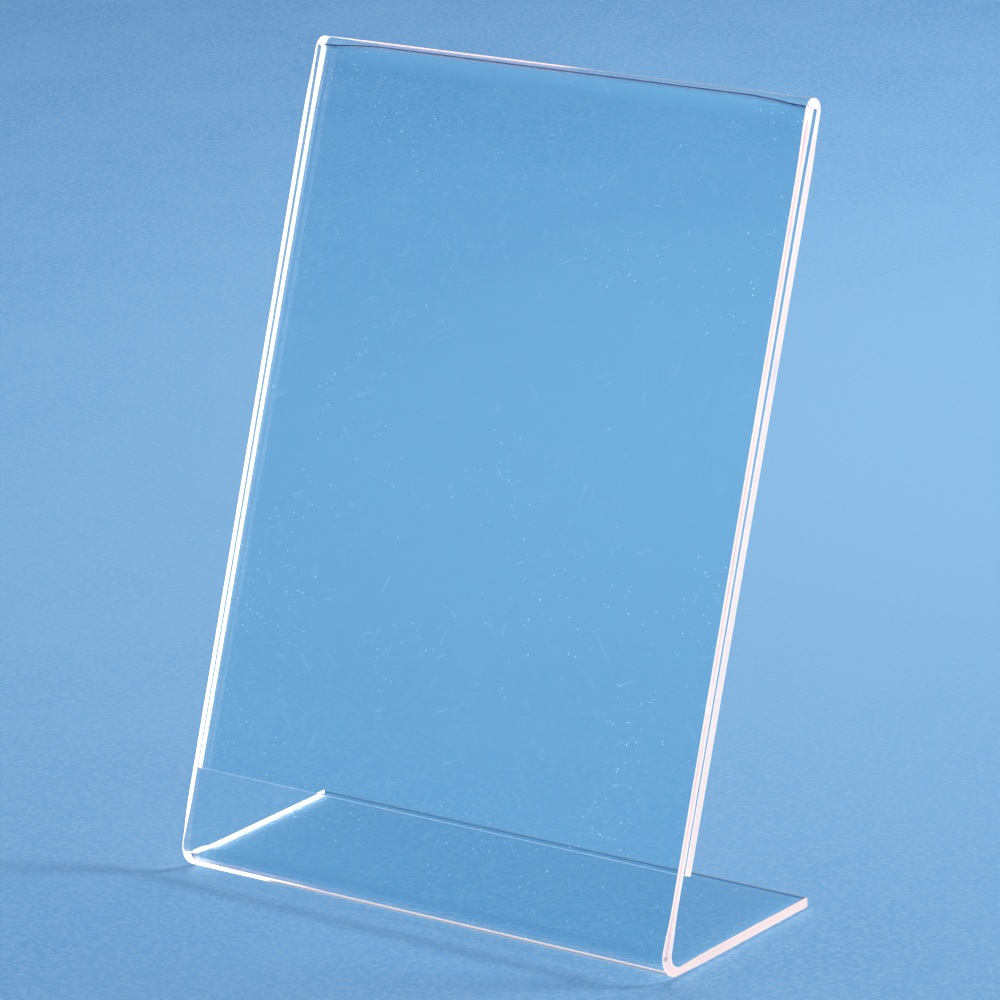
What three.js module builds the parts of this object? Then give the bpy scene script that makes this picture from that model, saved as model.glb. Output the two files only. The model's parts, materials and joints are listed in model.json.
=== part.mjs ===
// Slant-back photo holder, made from one clear acrylic sheet that is line-bent twice.
//
// Millimetres. +Z is up, +Y is towards the back, +X is to the right of someone facing the front panel.
// The origin is the bottom centre of the holder's bounding box, on the surface that it stands on.
//
// The sheet runs, in this order, through the foot, the heel bend, the front panel, the fold along the
// top, and the flap that hangs down behind the panel. A print slides in between panel and flap. Each
// flat stretch and each bend is a mesh of its own, so the flap can spring open about the top fold.

import * as THREE from "three";

// The sheet
const sheetWidth = 130;
const sheetThickness = 2.2;

// Overall shape. The corner that lengths are measured from is the sharp one, where the front face
// of the panel would meet the table if the heel had no radius.
const panelLength = 183;
const panelLean = THREE.MathUtils.degToRad(20.6);
const footDepth = 52;

// The two bends, by the radius on the inside of the bend
const heelInnerRadius = 2.7;
const foldInnerRadius = 0.55;

// Bending squeezes the inside of the sheet out past its cut ends and draws the outside in
const bendSpread = 0.4;
const bendDrawIn = 0.4;

// The flap: how far above the corner it ends, and how nearly it closes on the panel there
const flapStandoff = 23;
const flapEndGap = 0.3;

// Left open across each bend line, where one stretch of the sheet gives way to the next
const bendLineGap = 0.3;

const segmentsPerBend = 32;

// The acrylic's look
const acrylicColour = 0xdcecf5;
const acrylicRoughness = 0.06;
const acrylicOpacity = 0.45;

// Heel: an arc tangent to the table and to the front face
const heelOuterRadius = heelInnerRadius + sheetThickness;
const heelTurn = Math.PI / 2 + panelLean;
const heelTangent = heelOuterRadius / Math.tan((Math.PI - heelTurn) / 2);

// Top fold, in the panel's own frame: half a turn and a little more, so that the flap leans back
// in towards the panel and is flapEndGap away from it at its lower end
const foldOuterRadius = foldInnerRadius + sheetThickness;
const foldHeight = panelLength - foldOuterRadius;
const flapDrop = foldHeight - flapStandoff;
const flapEndOffset = flapEndGap - foldInnerRadius;
const flapLength = Math.sqrt(flapDrop ** 2 + flapEndOffset ** 2 - foldInnerRadius ** 2);
const flapCloseAngle = Math.atan2(foldInnerRadius, flapLength) - Math.atan2(flapEndOffset, flapDrop);

// Front and back limits of the bent sheet, for placing the origin at the middle of its depth
const frontLimit = heelTangent - heelOuterRadius;
const foldAxisDepth = foldHeight * Math.sin(panelLean) + foldOuterRadius * Math.cos(panelLean);
const backLimit = Math.max(footDepth, foldAxisDepth + foldOuterRadius);

// An outline drawn in a frame's Y and Z becomes a stretch of sheet, as wide as the sheet along X.
function stretchOfSheet(name, outline) {
  const geometry = new THREE.ExtrudeGeometry(outline, {
    depth: sheetWidth,
    bevelEnabled: false,
    curveSegments: segmentsPerBend,
  });
  geometry.translate(0, 0, -sheetWidth / 2);
  const alongY = new THREE.Vector3(0, 1, 0);
  const alongZ = new THREE.Vector3(0, 0, 1);
  const alongX = new THREE.Vector3(1, 0, 0);
  geometry.applyMatrix4(new THREE.Matrix4().makeBasis(alongY, alongZ, alongX));

  const material = new THREE.MeshStandardMaterial({
    color: acrylicColour,
    roughness: acrylicRoughness,
    metalness: 0,
    transparent: true,
    opacity: acrylicOpacity,
  });
  const mesh = new THREE.Mesh(geometry, material);
  mesh.name = name;
  return mesh;
}

// A flat stretch: a rectangle between two corners, given as [y, z].
function flatStretch(name, [yLow, zLow], [yHigh, zHigh]) {
  const outline = new THREE.Shape();
  outline.moveTo(yLow, zLow);
  outline.lineTo(yHigh, zLow);
  outline.lineTo(yHigh, zHigh);
  outline.lineTo(yLow, zHigh);
  outline.closePath();
  return stretchOfSheet(name, outline);
}

// A bend: a ring sector round the frame's origin, from one angle clockwise to the other.
function bentStretch(name, innerRadius, fromAngle, toAngle) {
  const outline = new THREE.Shape();
  outline.absarc(0, 0, innerRadius + sheetThickness, fromAngle, toAngle, true);
  outline.absarc(0, 0, innerRadius, toAngle, fromAngle, false);
  outline.closePath();
  const bend = stretchOfSheet(name, outline);
  spreadEnds(bend.geometry, innerRadius);
  return bend;
}

// Slopes a bend's two cut ends, from the spread on its inside to the draw-in on its outside.
function spreadEnds(geometry, innerRadius) {
  const points = geometry.getAttribute("position");
  for (let i = 0; i < points.count; i += 1) {
    const radius = Math.hypot(points.getY(i), points.getZ(i));
    const depthInSheet = (radius - innerRadius) / sheetThickness;
    const shift = THREE.MathUtils.lerp(bendSpread, -bendDrawIn, depthInSheet);
    points.setX(i, points.getX(i) + Math.sign(points.getX(i)) * shift);
  }
  geometry.computeVertexNormals();
}

function frameAt(y, z, turn = 0) {
  const frame = new THREE.Group();
  frame.position.set(0, y, z);
  frame.rotation.x = turn;
  return frame;
}

// Flat on the table, from the heel to its free back edge
function makeFoot() {
  return flatStretch("foot", [heelTangent + bendLineGap, 0], [footDepth, sheetThickness]);
}

// From the underside of the foot, clockwise as seen from the right, round to the front face
function makeHeelBend() {
  const heelCentre = frameAt(heelTangent, heelOuterRadius);
  const underside = -Math.PI / 2;
  heelCentre.add(bentStretch("heel_bend", heelInnerRadius, underside, underside - heelTurn));
  return heelCentre;
}

// In the panel's frame: front face on Z, back face one thickness behind it
function makeFrontPanel() {
  const lowerEnd = heelTangent + bendLineGap;
  const upperEnd = foldHeight - bendLineGap;
  return flatStretch("front_panel", [0, lowerEnd], [sheetThickness, upperEnd]);
}

function makeTopFold() {
  return bentStretch("top_fold", foldInnerRadius, Math.PI, -flapCloseAngle);
}

// In a frame that is turned with the end of the fold, so the flap hangs straight down from it
function makeRearFlap() {
  const turnedFrame = frameAt(0, 0, -flapCloseAngle);
  const frontFace = foldInnerRadius;
  const backFace = foldInnerRadius + sheetThickness;
  turnedFrame.add(flatStretch("rear_flap", [frontFace, -flapLength], [backFace, -bendLineGap]));
  return turnedFrame;
}

function makeHolder() {
  const panelFrame = frameAt(0, 0, -panelLean);
  panelFrame.add(makeFrontPanel());
  const foldCentre = frameAt(foldOuterRadius, foldHeight);
  foldCentre.add(makeTopFold(), makeRearFlap());
  panelFrame.add(foldCentre);

  const sheet = frameAt(-(frontLimit + backLimit) / 2, 0);
  sheet.add(makeFoot(), makeHeelBend(), panelFrame);

  const holder = new THREE.Group();
  holder.add(sheet);
  return holder;
}

export default makeHolder();
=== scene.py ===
import json
import math

import bmesh
import bpy
from mathutils import Matrix, Vector, noise
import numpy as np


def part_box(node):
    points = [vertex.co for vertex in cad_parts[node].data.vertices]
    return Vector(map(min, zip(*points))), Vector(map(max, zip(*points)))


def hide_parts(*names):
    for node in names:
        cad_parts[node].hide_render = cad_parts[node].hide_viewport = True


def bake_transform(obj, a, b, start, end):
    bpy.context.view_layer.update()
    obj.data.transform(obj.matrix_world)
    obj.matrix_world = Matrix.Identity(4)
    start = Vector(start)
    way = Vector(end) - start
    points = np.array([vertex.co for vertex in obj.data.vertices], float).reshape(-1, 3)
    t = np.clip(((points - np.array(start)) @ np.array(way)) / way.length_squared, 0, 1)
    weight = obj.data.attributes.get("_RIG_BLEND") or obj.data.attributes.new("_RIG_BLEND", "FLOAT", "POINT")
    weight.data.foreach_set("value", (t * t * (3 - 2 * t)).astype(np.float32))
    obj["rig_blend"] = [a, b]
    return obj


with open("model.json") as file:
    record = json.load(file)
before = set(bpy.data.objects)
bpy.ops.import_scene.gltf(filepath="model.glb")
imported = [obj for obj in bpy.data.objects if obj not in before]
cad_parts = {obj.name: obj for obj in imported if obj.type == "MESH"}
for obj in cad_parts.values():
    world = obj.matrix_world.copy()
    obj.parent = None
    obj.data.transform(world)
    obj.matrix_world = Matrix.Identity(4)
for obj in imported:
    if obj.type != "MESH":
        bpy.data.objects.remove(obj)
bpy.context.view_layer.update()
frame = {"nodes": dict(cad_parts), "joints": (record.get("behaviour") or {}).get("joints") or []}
print("frame loaded:", ", ".join(sorted(frame["nodes"])))


# The bent sheet's measures, all worked out from the frame's boxes and its one joint
def readSheetShape():
    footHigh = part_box("foot")[1]
    heelLow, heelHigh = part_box("heel_bend")
    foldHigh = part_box("top_fold")[1]
    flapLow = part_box("rear_flap")[0]
    thickness = footHigh.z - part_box("foot")[0].z

    heelOuter = heelHigh.y - heelLow.y
    heelCentre = Vector((0, heelHigh.y, heelOuter))
    foldCentre = Vector(frame["joints"][0]["pos_m"])
    foldOuter = foldHigh.z - foldCentre.z
    foldInner = foldOuter - thickness

    # The panel's front face touches both bends on the outside, and that gives its lean
    between = foldCentre - heelCentre
    slant = math.asin((heelOuter - foldOuter) / between.length)
    lean = math.atan2(between.y, between.z) + slant

    # The flap's lean and length follow from the lower corners of its end, and settle in a few rounds
    dropBack = foldCentre.y - flapLow.y
    dropDown = foldCentre.z - flapLow.z
    flapLean = lean
    for attempt in range(12):
        flapLength = (dropDown - foldOuter * math.sin(flapLean)) / math.cos(flapLean)
        flapLean = math.asin((dropBack + foldInner * math.cos(flapLean)) / flapLength)

    return {
        "width": footHigh.x * 2,
        "thickness": thickness,
        "footBack": footHigh.y,
        "heelCentre": heelCentre,
        "heelOuter": heelOuter,
        "foldCentre": foldCentre,
        "foldOuter": foldOuter,
        "panelRun": between.length * math.cos(slant),
        "lean": lean,
        "flapLean": flapLean,
        "flapLength": flapLength,
        "endSpread": heelHigh.x - footHigh.x,
    }


shape = readSheetShape()
print("sheet leans", round(math.degrees(shape["lean"]), 2), "degrees, flap is",
      round(shape["flapLength"] * 1000, 2), "mm long")


sheetLook = {
    "acrossSteps": 26,        # strips from one cut end to the other
    "flatStep": 0.003,        # length of a strip on the flats
    "bendSteps": 28,          # strips round each bend
    "arris": 0.00010,         # fine chamfer along every cut edge
    "arrisSegments": 2,
    "spreadReach": 0.0085,    # how far from a bend its swollen ends run out
    "foldSpread": 0.00012,    # how far the fold's inner skin is squeezed out at its two ends
    "foldDrawIn": 0.00042,    # and how far its outer skin is drawn in
    "foldDrawReach": 0.014,
    "foldThinning": 0.00066,  # the folded wall is stretched thinner, so the slot reaches higher
    "thinningEnds": 0.016,    # but not near the two ends
    "bendRipple": 0.00002,    # how far uneven heating draws in the outside of a bend
    "rippleLength": 0.019,
    "heelSeed": 3.7,
    "foldSeed": 9.1,
    "rimAngle": 60,           # edges sharper than this are chamfered, in degrees
    "smoothAngle": 15,        # and these are shaded smooth
}


# The faces of a strip with their edges and points, so that an extrusion leaves no wall inside the sheet
def wholeStrip(strip):
    return strip + list({e for f in strip for e in f.edges}) + list({v for f in strip for v in f.verts})


# Pushes the leading strip along a straight line, ring by ring
def pullFlat(mesh, strip, direction, length, start):
    along = mesh.verts.layers.float["along"]
    steps = max(1, round(length / sheetLook["flatStep"]))
    for step in range(steps):
        moved = bmesh.ops.extrude_face_region(mesh, geom=wholeStrip(strip))["geom"]
        ring = [v for v in moved if isinstance(v, bmesh.types.BMVert)]
        strip = [f for f in moved if isinstance(f, bmesh.types.BMFace)]
        bmesh.ops.translate(mesh, verts=ring, vec=direction * (length / steps))
        for vert in ring:
            vert[along] = start + length * (step + 1) / steps
    return strip, start + length


# Spins the leading strip round a bend's centre, ring by ring
def pullBend(mesh, strip, centre, outerRadius, turn, start):
    along = mesh.verts.layers.float["along"]
    steps = sheetLook["bendSteps"]
    length = turn * (outerRadius - shape["thickness"] / 2)
    for step in range(steps):
        spun = bmesh.ops.spin(mesh, geom=wholeStrip(strip), cent=centre, axis=(1, 0, 0),
                              angle=-turn / steps, steps=1)
        strip = [f for f in spun["geom_last"] if isinstance(f, bmesh.types.BMFace)]
        for vert in {v for f in strip for v in f.verts}:
            vert[along] = start + length * (step + 1) / steps
    return strip, start + length


def smoothStep(value):
    value = min(1, max(0, value))
    return value * value * (3 - 2 * value)


# From the foot's back end round the heel, up the panel, over the fold and down the flap
def bendSheet(mesh):
    depth = mesh.verts.layers.float["depth"]
    width, thickness = shape["width"], shape["thickness"]
    lean, flapLean = shape["lean"], shape["flapLean"]
    heelCentre, foldCentre = shape["heelCentre"], shape["foldCentre"]

    place = Matrix.Translation((0, shape["footBack"], thickness / 2))
    upright = Matrix.Rotation(math.pi / 2, 4, "X")
    bmesh.ops.create_grid(mesh, x_segments=sheetLook["acrossSteps"], y_segments=1, size=0.5,
                          matrix=place @ upright @ Matrix.Diagonal((width, thickness, 1, 1)))
    for vert in mesh.verts:
        vert[depth] = 1 if vert.co.z > thickness / 2 else 0  # 1 is the skin on the inside of the bends
    strip = mesh.faces[:]

    forward = Vector((0, -1, 0))
    upPanel = Vector((0, math.sin(lean), math.cos(lean)))
    downFlap = Vector((0, -math.sin(flapLean), -math.cos(flapLean)))
    heelTurn = math.pi / 2 + lean
    foldTurn = math.pi + flapLean - lean

    strip, heelStart = pullFlat(mesh, strip, forward, shape["footBack"] - heelCentre.y, 0)
    strip, heelEnd = pullBend(mesh, strip, heelCentre, shape["heelOuter"], heelTurn, heelStart)
    strip, foldStart = pullFlat(mesh, strip, upPanel, shape["panelRun"], heelEnd)
    strip, foldEnd = pullBend(mesh, strip, foldCentre, shape["foldOuter"], foldTurn, foldStart)
    pullFlat(mesh, strip, downFlap, shape["flapLength"], foldEnd)
    bmesh.ops.recalc_face_normals(mesh, faces=mesh.faces)
    return (heelStart, heelEnd), (foldStart, foldEnd)


# 1 on a bend, fading out along the flats on both sides of it
def nearBend(here, span, reach):
    away = max(span[0] - here, here - span[1], 0)
    return smoothStep(1 - away / reach)


# Bending squeezes the inner skin out past the cut ends and draws the outer skin in
def swellEnds(mesh, heelSpan, foldSpan):
    along, depth = mesh.verts.layers.float["along"], mesh.verts.layers.float["depth"]
    edge = shape["width"] / 2 - 1e-6
    for vert in mesh.verts:
        if abs(vert.co.x) < edge:
            continue
        onInnerSkin = vert[depth] > 0.5
        foldShift = sheetLook["foldSpread"] if onInnerSkin else sheetLook["foldDrawIn"]
        atHeel = shape["endSpread"] * nearBend(vert[along], heelSpan, sheetLook["spreadReach"])
        atFold = foldShift * nearBend(vert[along], foldSpan, sheetLook["foldDrawReach"])
        shift = max(atHeel, atFold) if onInnerSkin else -max(atHeel, atFold)
        vert.co.x += shift * math.copysign(1, vert.co.x)


# The folded wall is stretched thinner over the top of the slot
def thinFold(mesh, span, centre):
    along, depth = mesh.verts.layers.float["along"], mesh.verts.layers.float["depth"]
    halfWidth = shape["width"] / 2
    for vert in mesh.verts:
        if not (span[0] < vert[along] < span[1]) or vert[depth] < 0.5:
            continue
        overTop = math.sin(math.pi * (vert[along] - span[0]) / (span[1] - span[0]))
        inside = smoothStep((halfWidth - abs(vert.co.x)) / sheetLook["thinningEnds"])
        outward = Vector((0, vert.co.y - centre.y, vert.co.z - centre.z)).normalized()
        vert.co += outward * sheetLook["foldThinning"] * overTop ** 2 * inside


# Uneven heat leaves the outside of a bend very slightly wavy along its length, always inwards
def rippleBend(mesh, span, centre, seed):
    along, depth = mesh.verts.layers.float["along"], mesh.verts.layers.float["depth"]
    for vert in mesh.verts:
        if not (span[0] < vert[along] < span[1]) or vert[depth] > 0.5:
            continue
        overBend = math.sin(math.pi * (vert[along] - span[0]) / (span[1] - span[0]))
        wave = noise.noise(Vector((vert.co.x / sheetLook["rippleLength"], seed, 0)))
        inward = Vector((0, centre.y - vert.co.y, centre.z - vert.co.z)).normalized()
        vert.co += inward * sheetLook["bendRipple"] * overBend * (0.5 + wave)


clearFace, cutFace, rearEndFace = 0, 1, 2


# The two sides and the flap's lower end are cut ends, and the foot's rear end is a kind of its own
def sortFaces(mesh):
    facing, facingAside = 0.9, 0.7   # the sides slope where they swell
    lowerHalf = shape["foldCentre"].z / 2
    for face in mesh.faces:
        centre = face.calc_center_median()
        atFootEnd = face.normal.y > facing and centre.z < shape["thickness"]
        atFlapEnd = face.normal.z < -facing and shape["thickness"] < centre.z < lowerHalf
        face.material_index = clearFace
        if abs(face.normal.x) > facingAside or atFlapEnd:
            face.material_index = cutFace
        elif atFootEnd:
            face.material_index = rearEndFace


# Puts points, edges and faces in an order that is the same on every run
def settleOrder(mesh):
    byPlace = sorted(mesh.verts, key=lambda vert: tuple(round(part, 7) for part in vert.co))
    ranks = {vert: rank for rank, vert in enumerate(byPlace)}
    mesh.verts.sort(key=lambda vert: ranks[vert])
    for parts in (mesh.edges, mesh.faces):
        inOrder = sorted(parts, key=lambda part: sorted(ranks[v] for v in part.verts))
        places = {part: place for place, part in enumerate(inOrder)}
        parts.sort(key=lambda part: places[part])


def makeSheet():
    mesh = bmesh.new()
    mesh.verts.layers.float.new("along")
    mesh.verts.layers.float.new("depth")
    heelSpan, foldSpan = bendSheet(mesh)
    thinFold(mesh, foldSpan, shape["foldCentre"])
    swellEnds(mesh, heelSpan, foldSpan)
    rippleBend(mesh, heelSpan, shape["heelCentre"], sheetLook["heelSeed"])
    rippleBend(mesh, foldSpan, shape["foldCentre"], sheetLook["foldSeed"])

    mesh.normal_update()
    sortFaces(mesh)
    rims = [e for e in mesh.edges if e.calc_face_angle() > math.radians(sheetLook["rimAngle"])]
    bmesh.ops.bevel(mesh, geom=rims, affect="EDGES", offset=sheetLook["arris"],
                    segments=sheetLook["arrisSegments"], profile=0.5, material=-1)
    mesh.normal_update()
    for face in mesh.faces:
        face.smooth = True
    for edge in mesh.edges:
        edge.smooth = edge.calc_face_angle() < math.radians(sheetLook["smoothAngle"])
    settleOrder(mesh)

    data = bpy.data.meshes.new("acrylic_sheet")
    mesh.to_mesh(data)
    mesh.free()
    sheet = bpy.data.objects.new("acrylic_sheet", data)
    bpy.context.scene.collection.objects.link(sheet)
    return sheet, heelSpan, foldSpan


sheet, heelSpan, foldSpan = makeSheet()
print("sheet made:", len(sheet.data.polygons), "faces")


# Adds a node with its settings and its sockets' values or links, by socket name
def addNode(tree, kind, sockets=None, **settings):
    node = tree.nodes.new(kind)
    for name, value in settings.items():
        setattr(node, name, value)
    for name, value in (sockets or {}).items():
        if isinstance(value, bpy.types.NodeSocket):
            tree.links.new(value, node.inputs[name])
        else:
            node.inputs[name].default_value = value
    return node


def mathNode(tree, operation, first, second=0.5, third=0.5):
    node = tree.nodes.new("ShaderNodeMath")
    node.operation = operation
    for socket, value in zip(node.inputs, (first, second, third)):
        if isinstance(value, bpy.types.NodeSocket):
            tree.links.new(value, socket)
        else:
            socket.default_value = value
    return node.outputs[0]


# A value squeezed to 0..1 between two limits, with soft ends
def rampNode(tree, value, low, high):
    node = addNode(tree, "ShaderNodeMapRange", {"Value": value, "From Min": low, "From Max": high},
                   interpolation_type="SMOOTHSTEP")
    return node.outputs["Result"]


def mixColours(tree, factor, first, second):
    node = tree.nodes.new("ShaderNodeMix")
    node.data_type = "RGBA"
    for name, value in (("Factor", factor), ("A", first), ("B", second)):
        socket = [s for s in node.inputs if s.name == name and s.enabled][0]
        if isinstance(value, bpy.types.NodeSocket):
            tree.links.new(value, socket)
        else:
            socket.default_value = value
    return [s for s in node.outputs if s.enabled][0]


def startGroup(name, inputs, output):
    tree = bpy.data.node_groups.new(name, "ShaderNodeTree")
    for label, value in inputs.items():
        socket = tree.interface.new_socket(label, in_out="INPUT", socket_type="NodeSocketFloat")
        socket.default_value = value
    tree.interface.new_socket(output, in_out="OUTPUT", socket_type="NodeSocketFloat")
    return tree, tree.nodes.new("NodeGroupInput").outputs, tree.nodes.new("NodeGroupOutput").inputs


marksLook = {
    "driftScale": 38,                   # size of the dust's clusters
    "hairStretch": (120, 200, 4200),    # hairlines are long one way and thin across
    "hairSoftness": 0.05,
}


# Specks of dust in loose clusters
def makeDustGroup():
    tree, inputs, outputs = startGroup("dustSpecks", {"Scale": 350, "Size": 0.05, "Cover": 0.5}, "Mask")
    place = addNode(tree, "ShaderNodeTexCoord").outputs["Object"]
    cells = addNode(tree, "ShaderNodeTexVoronoi", {"Vector": place, "Scale": inputs["Scale"]})
    speck = mathNode(tree, "LESS_THAN", cells.outputs["Distance"], inputs["Size"])
    drifts = addNode(tree, "ShaderNodeTexNoise", {"Vector": place, "Scale": marksLook["driftScale"],
                                                  "Detail": 2})
    bare = mathNode(tree, "SUBTRACT", 1, inputs["Cover"])
    settled = mathNode(tree, "GREATER_THAN", drifts.outputs["Fac"], bare)
    bright = addNode(tree, "ShaderNodeSeparateColor", {"Color": cells.outputs["Color"]}).outputs["Red"]
    shown = mathNode(tree, "MULTIPLY", speck, settled)
    tree.links.new(mathNode(tree, "MULTIPLY", shown, bright), outputs["Mask"])
    return tree


# Hairline scratches, all in one direction within the sheet
def makeScratchGroup():
    tree, inputs, outputs = startGroup("hairlines", {"Angle": 0.6, "Amount": 0.2, "Shift": 0}, "Mask")
    place = addNode(tree, "ShaderNodeTexCoord").outputs["Object"]
    turned = addNode(tree, "ShaderNodeVectorRotate", {"Vector": place, "Angle": inputs["Angle"]},
                     rotation_type="Y_AXIS")
    offset = addNode(tree, "ShaderNodeCombineXYZ", {"X": inputs["Shift"], "Y": inputs["Shift"]})
    stretched = addNode(tree, "ShaderNodeMapping", {"Vector": turned.outputs[0],
                                                    "Scale": marksLook["hairStretch"]})
    moved = addNode(tree, "ShaderNodeVectorMath", operation="ADD")
    tree.links.new(stretched.outputs[0], moved.inputs[0])
    tree.links.new(offset.outputs[0], moved.inputs[1])
    grain = addNode(tree, "ShaderNodeTexNoise", {"Vector": moved.outputs[0], "Scale": 1, "Detail": 0})
    limit = mathNode(tree, "SUBTRACT", 1, inputs["Amount"])
    over = mathNode(tree, "SUBTRACT", grain.outputs["Fac"], limit)
    line = rampNode(tree, over, 0, marksLook["hairSoftness"])
    tree.links.new(line, outputs["Mask"])
    return tree


dustGroup = makeDustGroup()
scratchGroup = makeScratchGroup()


def useGroup(tree, group, **values):
    node = tree.nodes.new("ShaderNodeGroup")
    node.node_tree = group
    for name, value in values.items():
        node.inputs[name].default_value = value
    return node.outputs[0]


clearAcrylic = {
    "tint": (0.835, 0.955, 0.987, 1),
    "ior": 1.49,
    "roughness": 0.0,
    "shade": (0.94, 0.975, 0.99, 1),  # what each face lets through to a shadow
    "dustScale": 520,
    "dustSize": 0.07,
    "dustCover": 0.47,
    # dust specks and scratches glow in this colour, a painted glint on real marks
    "dustGlintColour": (0.9, 0.95, 1.0, 1),
    "dustGlow": 0.7,
    "scratchAngles": (0.35, 1.2, 2.3),
    "scratchShift": 4.3,              # so that no two directions share a pattern
    "scratchAmount": 0.17,
    "scratchGlow": 0.1,
}


# Masks that are laid over each other, the strongest showing
def strongest(tree, masks):
    result = masks[0]
    for mask in masks[1:]:
        result = mathNode(tree, "MAXIMUM", result, mask)
    return result


def startMaterial(name):
    material = bpy.data.materials.new(name)
    material.use_nodes = True
    tree = material.node_tree
    tree.nodes.clear()
    return material, tree, tree.nodes.new("ShaderNodeOutputMaterial")


def mixShaders(tree, factor, first, second):
    mixed = tree.nodes.new("ShaderNodeMixShader")
    for socket, value in zip(mixed.inputs, (factor, first, second)):
        if isinstance(value, bpy.types.Node):
            tree.links.new(value.outputs[0], socket)
        elif isinstance(value, bpy.types.NodeSocket):
            tree.links.new(value, socket)
        else:
            socket.default_value = value
    return mixed


# The glass-like shader, which lets shadow and bounced light straight through
def addClearShader(tree, tint, glow=(0, 0, 0, 1)):
    look = clearAcrylic
    glass = addNode(tree, "ShaderNodeBsdfPrincipled", {
        "Base Color": tint,
        "Roughness": look["roughness"],
        "IOR": look["ior"],
        "Transmission Weight": 1,
        "Emission Color": glow,
        "Emission Strength": 1,
    })
    through = addNode(tree, "ShaderNodeBsdfTransparent", {"Color": look["shade"]})
    rays = addNode(tree, "ShaderNodeLightPath").outputs
    straight = strongest(tree, [rays["Is Shadow Ray"], rays["Is Diffuse Ray"]])
    return mixShaders(tree, straight, glass, through), rays


def makeClearAcrylic():
    look = clearAcrylic
    material, tree, output = startMaterial("clearSheet")
    dust = useGroup(tree, dustGroup, Scale=look["dustScale"], Size=look["dustSize"],
                    Cover=look["dustCover"])
    scratches = strongest(tree, [
        useGroup(tree, scratchGroup, Angle=angle, Amount=look["scratchAmount"],
                 Shift=look["scratchShift"] * number)
        for number, angle in enumerate(look["scratchAngles"])
    ])
    # The dust specks and hairline scratches are real marks, painted as glow: a painted glint that shows
    # under any light
    marks = strongest(tree, [
        mathNode(tree, "MULTIPLY", dust, look["dustGlow"]),
        mathNode(tree, "MULTIPLY", scratches, look["scratchGlow"]),
    ])
    glow = mixColours(tree, marks, (0, 0, 0, 1), look["dustGlintColour"])
    shader, _ = addClearShader(tree, look["tint"], glow)
    tree.links.new(shader.outputs[0], output.inputs["Surface"])
    return material


cutAcrylic = {
    "middle": (1.0, 0.76, 0.64, 1),     # pale rose where the light gathers
    "border": (1.0, 0.89, 0.78, 1),     # paler towards both skins
    "borderFrom": (0.35, 0.85),         # between these shares of the way out to a skin
    "borderDrift": 0.5,
    "foldReach": 0.009,                 # and all over this near to the fold
    "cool": (0.78, 0.68, 0.66, 1),      # duller stretches
    "coolFrom": (0.52, 0.72),
    "foot": (1.0, 0.71, 0.59, 1),       # rosier all along the foot
    "driftScale": 60,
    "patchScale": 34,
    "line": (0.66, 0.42, 0.38, 1),      # a saw line along the panel's cut
    "lineDepth": 0.42,
    "lineWander": 0.12,
    "lineWidth": 0.085,
    "lineFade": (0.32, 0.5),
    "lineEnds": (0.001, 0.002),         # it starts this far inside the heel and stops short of the fold
    "creaseShade": (0.72, 0.62, 0.62, 1),    # painted shade in thin lines where the fold starts and ends
    "creaseWidth": 0.00028,
    "creasePlace": 0.13,
    "darkSpot": (0.30, 0.30, 0.34, 1),    # a dark grey spot at the top of the heel
    "darkSpotSize": 0.0007,
    "darkSpotBelow": 0.0012,
    "darkSpotDepth": 0.35,
    "darkSpotSpan": 0.3,
    "glow": 0.32,                       # painted glow on the outside
    "footOuterGlow": 0.11,              # added to that along the foot
    "innerGlow": 2.6,                   # painted glow seen through the sheet
    "footGlow": 11,                     # added to that along the foot
    "flapEndGlow": -1.9,                # along the flap's lower end
    "flapEndReach": 0.0002,
    "foldGlow": -1.9,                   # and at the fold
    "frost": 0.5,                       # how much of the light goes through the frosted cut
    "paintedGuidedLight": (3.3, 1.75, 1.38, 1),     # painted glow for the light that arrives along the inside of the sheet
    "guidedFrom": 5,                    # after so many reflections
    "guidedTo": 9,
    "paintedSpentLight": (0.60, 0.55, 0.55, 1),     # and what is left of it after very many
    "spentFrom": 50,
    "spentTo": 57,
    "roughness": 0.42,
    "roughnessChange": 0.2,
    "sawScale": 2300,
    "sawStretch": 0.0006,
    "sawHeight": 0.12,
    "sawDistance": 0.0001,
}


# How far a value is from another one, either way
def apart(tree, value, other):
    return mathNode(tree, "ABSOLUTE", mathNode(tree, "SUBTRACT", value, other))


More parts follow.
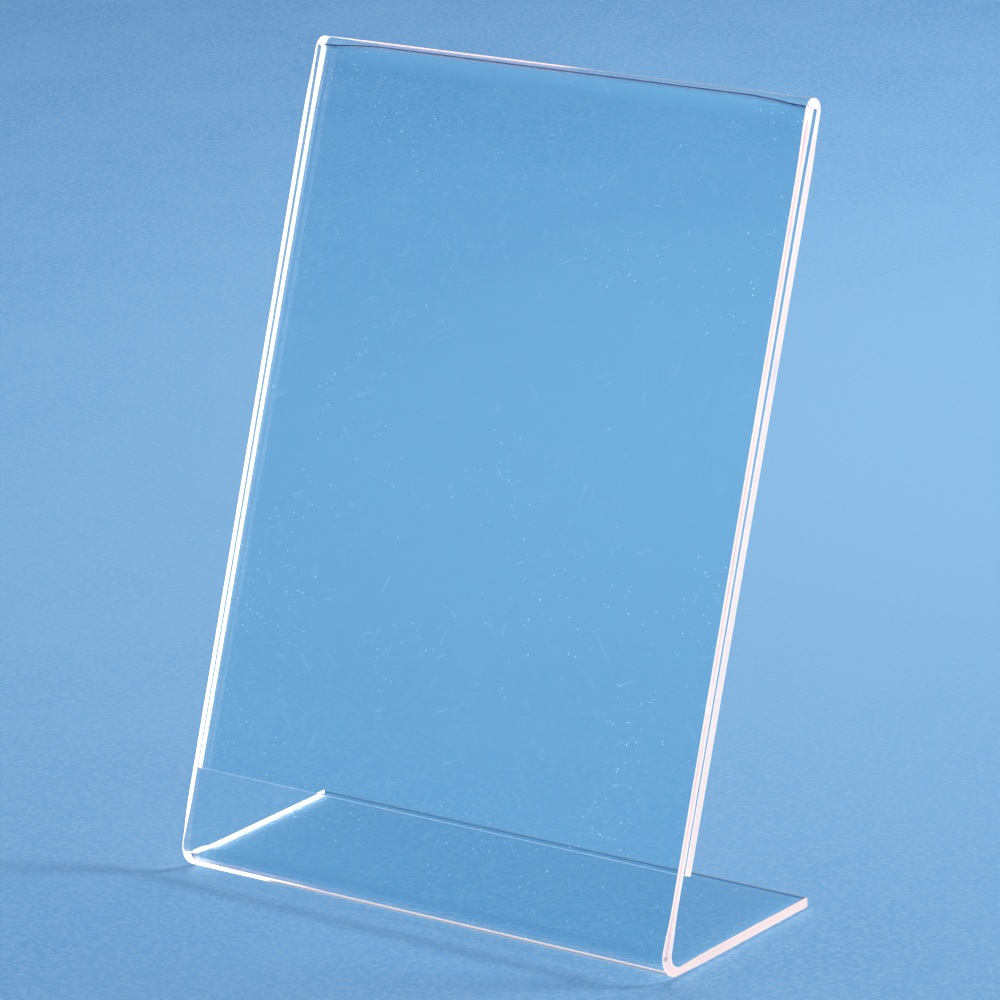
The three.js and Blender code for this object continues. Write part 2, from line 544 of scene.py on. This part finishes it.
# The cut ends' colour, from the place along the sheet and the depth in it
def cutColour(tree, along, depth):
    look = cutAcrylic
    drift = addNode(tree, "ShaderNodeTexNoise", {"W": along, "Scale": look["driftScale"], "Detail": 3},
                    noise_dimensions="1D").outputs["Fac"]
    patches = addNode(tree, "ShaderNodeTexNoise", {"W": along, "Scale": look["patchScale"], "Detail": 2},
                      noise_dimensions="1D").outputs["Fac"]

    fromMiddle = mathNode(tree, "ABSOLUTE", mathNode(tree, "MULTIPLY_ADD", depth, 2, -1))
    drifting = mathNode(tree, "MULTIPLY_ADD", drift, look["borderDrift"], -look["borderDrift"] / 2)
    border = rampNode(tree, mathNode(tree, "ADD", fromMiddle, drifting), *look["borderFrom"])
    fromFold = apart(tree, along, sum(foldSpan) / 2)
    border = strongest(tree, [border, rampNode(tree, fromFold, look["foldReach"], look["foldReach"] / 2)])
    colour = mixColours(tree, border, look["middle"], look["border"])
    dull = mathNode(tree, "MULTIPLY", rampNode(tree, patches, *look["coolFrom"]),
                    mathNode(tree, "SUBTRACT", 1, border))
    colour = mixColours(tree, dull, colour, look["cool"])

    # A line that wanders and fades, on the panel only
    wander = mathNode(tree, "MULTIPLY_ADD", drift, look["lineWander"],
                      look["lineDepth"] - look["lineWander"] / 2)
    onPanel = mathNode(tree, "MULTIPLY",
                       mathNode(tree, "GREATER_THAN", along, heelSpan[1] - look["lineEnds"][0]),
                       mathNode(tree, "LESS_THAN", along, foldSpan[0] - look["lineEnds"][1]))
    line = rampNode(tree, apart(tree, depth, wander), look["lineWidth"], 0)
    line = mathNode(tree, "MULTIPLY", line, onPanel)
    line = mathNode(tree, "MULTIPLY", line, rampNode(tree, patches, *look["lineFade"]))
    colour = mixColours(tree, line, colour, look["line"])

    def nearTo(place, reach):
        return rampNode(tree, apart(tree, along, place), reach, 0)

    # Painted shade: thin darker lines across the cut ends near where the fold starts and ends
    fromEnd = (foldSpan[1] - foldSpan[0]) * look["creasePlace"]
    creaseShadeLines = strongest(tree, [nearTo(foldSpan[0] + fromEnd, look["creaseWidth"]),
                               nearTo(foldSpan[1] - fromEnd, look["creaseWidth"])])
    colour = mixColours(tree, creaseShadeLines, colour, look["creaseShade"])
    # A dark grey spot just below the top of the heel
    outer = rampNode(tree, apart(tree, depth, look["darkSpotDepth"]), look["darkSpotSpan"], 0)
    spot = mathNode(tree, "MULTIPLY", nearTo(heelSpan[1] - look["darkSpotBelow"], look["darkSpotSize"]), outer)
    colour = mixColours(tree, spot, colour, look["darkSpot"])
    return mixColours(tree, footShare(tree, along), colour, look["foot"])


# 1 along the foot, fading out round the heel
def footShare(tree, along):
    return rampNode(tree, along, heelSpan[1], heelSpan[0])


# Painted glow on the cut ends, though they are no lamp: a little outside, and more where they are seen
# through the sheet
def cutGlow(tree, along, rays):
    look = cutAcrylic
    inside = addNode(tree, "ShaderNodeNewGeometry").outputs["Backfacing"]
    seen = mathNode(tree, "SUBTRACT", 1, rays["Is Diffuse Ray"])
    onFoot = mathNode(tree, "MULTIPLY", seen, mathNode(tree, "LESS_THAN", along, heelSpan[0]))
    lastStretch = foldSpan[1] + shape["flapLength"] - look["flapEndReach"]
    onFlapEnd = mathNode(tree, "GREATER_THAN", along, lastStretch)
    fromFold = apart(tree, along, sum(foldSpan) / 2)
    onFold = rampNode(tree, fromFold, look["foldReach"], look["foldReach"] / 3)
    # Painted glow: much stronger along the foot, weaker at the flap's lower end and at the fold
    innerGlow = mathNode(tree, "MULTIPLY_ADD", onFoot, look["footGlow"], look["innerGlow"] - look["glow"])
    innerGlow = mathNode(tree, "MULTIPLY_ADD", onFlapEnd, look["flapEndGlow"], innerGlow)
    innerGlow = mathNode(tree, "MULTIPLY_ADD", onFold, look["foldGlow"], innerGlow)
    outerGlow = mathNode(tree, "MULTIPLY_ADD", footShare(tree, along), look["footOuterGlow"], look["glow"])
    return mathNode(tree, "MULTIPLY_ADD", inside, innerGlow, outerGlow)


def makeCutAcrylic():
    look = cutAcrylic
    material, tree, output = startMaterial("cutEdge")
    along = addNode(tree, "ShaderNodeAttribute", attribute_name="along").outputs["Fac"]
    depth = addNode(tree, "ShaderNodeAttribute", attribute_name="depth").outputs["Fac"]
    rays = addNode(tree, "ShaderNodeLightPath").outputs
    colour = cutColour(tree, along, depth)

    across = mathNode(tree, "MULTIPLY", depth, look["sawStretch"])
    saw = addNode(tree, "ShaderNodeCombineXYZ", {"X": along, "Y": across})
    marks = addNode(tree, "ShaderNodeTexNoise", {"Vector": saw.outputs[0], "Scale": look["sawScale"],
                                                 "Detail": 2}).outputs["Fac"]
    bump = addNode(tree, "ShaderNodeBump", {"Height": marks, "Strength": look["sawHeight"],
                                            "Distance": look["sawDistance"]})
    rough = mathNode(tree, "MULTIPLY_ADD", marks, look["roughnessChange"],
                     look["roughness"] - look["roughnessChange"] / 2)
    face = addNode(tree, "ShaderNodeBsdfPrincipled", {
        "Base Color": colour,
        "Roughness": rough,
        "IOR": clearAcrylic["ior"],
        "Normal": bump.outputs[0],
        "Emission Color": colour,
        "Emission Strength": cutGlow(tree, along, rays),
    })
    behind = addNode(tree, "ShaderNodeBsdfTranslucent", {"Color": colour})
    frosted = mixShaders(tree, look["frost"], face, behind)

    # Painted glow where a cut end is seen along the inside of the sheet: paler, and after very many
    # reflections little is left
    bounces = rays["Ray Depth"]
    faded = rampNode(tree, bounces, look["spentFrom"], look["spentTo"])
    paintedArrivingLight = mixColours(tree, faded, look["paintedGuidedLight"], look["paintedSpentLight"])
    glow = addNode(tree, "ShaderNodeEmission", {"Color": paintedArrivingLight})
    paintedGuidedLight = rampNode(tree, bounces, look["guidedFrom"], look["guidedTo"])
    tree.links.new(mixShaders(tree, paintedGuidedLight, frosted, glow).outputs[0], output.inputs["Surface"])
    return material


rearEnd = {
    "upper": (0.32, 0.40, 0.50, 1),     # its two halves, seen through the top of the foot: the upper a painted highlight line, the lower a painted dark reflection of the shaded floor
    "lower": (0.06, 0.20, 0.45, 1),
    "between": (0.45, 0.6),             # shares of the thickness where one gives way to the other
    "tint": (0.25, 0.42, 0.72, 1),      # of what shows through it from behind, darkened and blued as painted shade
    "glow": (0.96, 0.76, 0.75, 1),      # painted glow seen of it along the inside of the sheet
    "glowFrom": 6,                      # after so many reflections
    "glowTo": 9,
}


# The foot's rear end is polished; from above it shows two painted bands, a highlight line and a dark
# reflection, and painted glow runs along the foot from it
def makeRearEnd():
    material, tree, output = startMaterial("rearEnd")
    shader, rays = addClearShader(tree, rearEnd["tint"])
    along = rampNode(tree, rays["Ray Depth"], rearEnd["glowFrom"], rearEnd["glowTo"])
    light = addNode(tree, "ShaderNodeEmission", {"Color": rearEnd["glow"]})
    depth = addNode(tree, "ShaderNodeAttribute", attribute_name="depth").outputs["Fac"]
    upperShare = rampNode(tree, depth, *rearEnd["between"])
    # Painted highlight and painted dark reflection: the two halves glow in these colours where the end is
    # seen from inside
    halves = mixColours(tree, upperShare, rearEnd["lower"], rearEnd["upper"])
    inside = mathNode(tree, "SUBTRACT", addNode(tree, "ShaderNodeNewGeometry").outputs["Backfacing"],
                      strongest(tree, [rays["Is Shadow Ray"], rays["Is Diffuse Ray"]]))
    ends = mixShaders(tree, inside, shader, addNode(tree, "ShaderNodeEmission", {"Color": halves}))
    tree.links.new(mixShaders(tree, along, ends, light).outputs[0], output.inputs["Surface"])
    return material


sheet.data.materials.append(makeClearAcrylic())
sheet.data.materials.append(makeCutAcrylic())
sheet.data.materials.append(makeRearEnd())
print("materials made")


# The flap springs open about the fold, and everything below the fold in front of it stays put
def hangSheet():
    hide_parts("foot", "heel_bend", "front_panel", "top_fold", "rear_flap")
    fold = shape["foldCentre"]
    across = Vector((0, math.cos(shape["lean"]), -math.sin(shape["lean"]))) * shape["foldOuter"]
    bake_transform(sheet, "stand", "flap", start=fold - across, end=fold + across)
    along = sheet.data.attributes["along"]
    follow = sheet.data.attributes["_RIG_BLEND"]
    for place, share in zip(along.data, follow.data):
        share.value = smoothStep((place.value - foldSpan[0]) / (foldSpan[1] - foldSpan[0]))


hangSheet()
print("sheet hung on stand and flap")


floorLook = {
    "radius": 4.0,
    "drop": 0.0003,
    "colour": (0.225, 0.530, 0.785, 1),
    "mottle": (0.185, 0.480, 0.750, 1),
    "paintedLightPool": (0.305, 0.590, 0.790, 1),   # painted pool of light: the paper is paler and greyer in the middle, under the overhead lamp
    "lightPoolAt": (-0.10, 0.30, 0),
    "lightPoolReach": 0.5,
    "fleck": (0.335, 0.58, 0.78, 1),
    "mottleFrom": (0.3, 0.7),
    "fleckFrom": (0.42, 0.62),
    "mottleScale": 20,
    "fleckScale": 720,
    "grainScale": 640,
    "grainHeight": 0.15,
    "grainDistance": 0.0004,
    "roughness": 0.85,
}


def makeFloor():
    mesh = bmesh.new()
    bmesh.ops.create_circle(mesh, cap_ends=True, radius=floorLook["radius"], segments=96,
                            matrix=Matrix.Translation((0, 0, -floorLook["drop"])))
    data = bpy.data.meshes.new("floor")
    mesh.to_mesh(data)
    mesh.free()
    floor = bpy.data.objects.new("floor", data)
    bpy.context.scene.collection.objects.link(floor)

    material, tree, output = startMaterial("palePaper")
    place = addNode(tree, "ShaderNodeTexCoord").outputs["Object"]
    mottle = addNode(tree, "ShaderNodeTexNoise", {"Vector": place, "Scale": floorLook["mottleScale"],
                                                  "Detail": 5})
    grain = addNode(tree, "ShaderNodeTexNoise", {"Vector": place, "Scale": floorLook["grainScale"],
                                                 "Detail": 3})
    shade = rampNode(tree, mottle.outputs["Fac"], *floorLook["mottleFrom"])
    plain = mixColours(tree, shade, floorLook["colour"], floorLook["mottle"])
    flecks = addNode(tree, "ShaderNodeTexNoise", {"Vector": place, "Scale": floorLook["fleckScale"],
                                                  "Detail": 4, "Roughness": 0.7})
    flecked = rampNode(tree, flecks.outputs["Fac"], *floorLook["fleckFrom"])
    plain = mixColours(tree, flecked, plain, floorLook["fleck"])
    # Painted pool of light: the floor turns paler and greyer towards the point under the overhead lamp
    away = addNode(tree, "ShaderNodeVectorMath", {0: place, 1: floorLook["lightPoolAt"]}, operation="DISTANCE")
    paintedLightPool = rampNode(tree, away.outputs["Value"], floorLook["lightPoolReach"], 0)
    colour = mixColours(tree, paintedLightPool, plain, floorLook["paintedLightPool"])
    bump = addNode(tree, "ShaderNodeBump", {"Height": grain.outputs["Fac"],
                                            "Distance": floorLook["grainDistance"],
                                            "Strength": floorLook["grainHeight"]})
    paper = addNode(tree, "ShaderNodeBsdfPrincipled", {"Base Color": colour, "Normal": bump.outputs[0],
                                                       "Roughness": floorLook["roughness"]})
    tree.links.new(paper.outputs[0], output.inputs["Surface"])
    data.materials.append(material)


makeFloor()
print("floor made")


# The paper sweep glows softly all round, and the room above it is dark
worldLook = {
    "sweep": (0.20, 0.42, 0.68, 1),
    "room": (0.012, 0.050, 0.20, 1),
    "sweepTop": 0.12,     # sine of the height where the sweep starts to end
    "roomStart": 0.55,
}

# Soft boxes: where each stands, what it faces, its size across and high, its power and its colour
lights = {
    "keyBackRight": {"at": (1.0, 1.1, 1.5), "aim": (0, 0, 0.05), "size": (0.3, 0.3), "power": 14,
                     "colour": (1.0, 0.97, 0.94)},
    "overhead": {"at": (-0.1, 0.3, 1.9), "aim": (-0.1, 0.3, 0), "size": (1.2, 1.2), "power": 9.5,
                 "colour": (1.0, 0.99, 0.98)},
    "lowOverhead": {"at": (-0.1, 0.45, 0.8), "aim": (-0.1, 0.45, 0), "size": (0.4, 0.4), "power": 2.2,
                    "colour": (1.0, 0.99, 0.98)},
    "sideRight": {"at": (1.3, -0.5, 0.7), "aim": (0, 0, 0.08), "size": (0.6, 0.6), "power": 4,
                  "colour": (1.0, 0.86, 0.82), "sheetOnly": True},
    "sideLeft": {"at": (-0.7, -0.1, 0.35), "aim": (0, 0, 0.08), "size": (0.4, 0.4), "power": 9,
                 "colour": (1.0, 0.90, 0.87), "sheetOnly": True},
}


def makeLights():
    world = bpy.data.worlds.new("studio")
    world.use_nodes = True
    tree = world.node_tree
    place = addNode(tree, "ShaderNodeTexCoord").outputs["Generated"]
    height = addNode(tree, "ShaderNodeSeparateXYZ", {"Vector": place}).outputs["Z"]
    rise = rampNode(tree, height, worldLook["sweepTop"], worldLook["roomStart"])
    sky = mixColours(tree, rise, worldLook["sweep"], worldLook["room"])
    tree.links.new(sky, tree.nodes["Background"].inputs["Color"])
    bpy.context.scene.world = world
    for name, look in lights.items():
        lamp = bpy.data.lights.new(name, "AREA")
        lamp.shape = "RECTANGLE"
        lamp.size, lamp.size_y = look["size"]
        lamp.energy = look["power"]
        lamp.color = look["colour"]
        box = bpy.data.objects.new(name, lamp)
        box.location = look["at"]
        box.rotation_euler = (Vector(look["aim"]) - box.location).to_track_quat("-Z", "Y").to_euler()
        bpy.context.scene.collection.objects.link(box)
        if look.get("sheetOnly"):   # rakes the cut ends, unseen in the clear faces and on the floor
            box.visible_glossy = False
            box.visible_transmission = False
            receivers = bpy.data.collections.new(name + "Receivers")
            receivers.objects.link(sheet)
            box.light_linking.receiver_collection = receivers


cameraLook = {
    "azimuth": 39.22,      # degrees to the right of straight ahead
    "elevation": 17.31,
    "roll": -3.29,
    "distance": 1.2933,
    "aim": (0.0014, 0.0007, 0.0840),
    "lens": 222.6,
}


def makeCamera():
    camera = bpy.data.objects.new("camera", bpy.data.cameras.new("camera"))
    azimuth, elevation = math.radians(cameraLook["azimuth"]), math.radians(cameraLook["elevation"])
    away = Vector((math.cos(elevation) * math.sin(azimuth), -math.cos(elevation) * math.cos(azimuth),
                   math.sin(elevation)))
    camera.location = Vector(cameraLook["aim"]) + away * cameraLook["distance"]
    facing = (-away).to_track_quat("-Z", "Y").to_matrix()
    camera.rotation_euler = (facing @ Matrix.Rotation(math.radians(cameraLook["roll"]), 3, "Z")).to_euler()
    camera.data.lens = cameraLook["lens"]
    camera.data.clip_end = 20
    bpy.context.scene.collection.objects.link(camera)
    bpy.context.scene.camera = camera


# Light runs the whole width of the sheet inside it, by a hundred reflections and more
lightPaths = {
    "insideSheet": 160,
    "straightThrough": 24,
}


def setLightPaths():
    scene = bpy.context.scene
    scene.view_settings.view_transform = "Standard"
    scene.cycles.max_bounces = lightPaths["insideSheet"]
    scene.cycles.transmission_bounces = lightPaths["insideSheet"]
    scene.cycles.glossy_bounces = lightPaths["insideSheet"]
    scene.cycles.transparent_max_bounces = lightPaths["straightThrough"]
    scene.cycles.caustics_reflective = False
    scene.cycles.caustics_refractive = False
    scene.cycles.use_denoising = True


makeLights()
makeCamera()
setLightPaths()
print("lights and camera set")
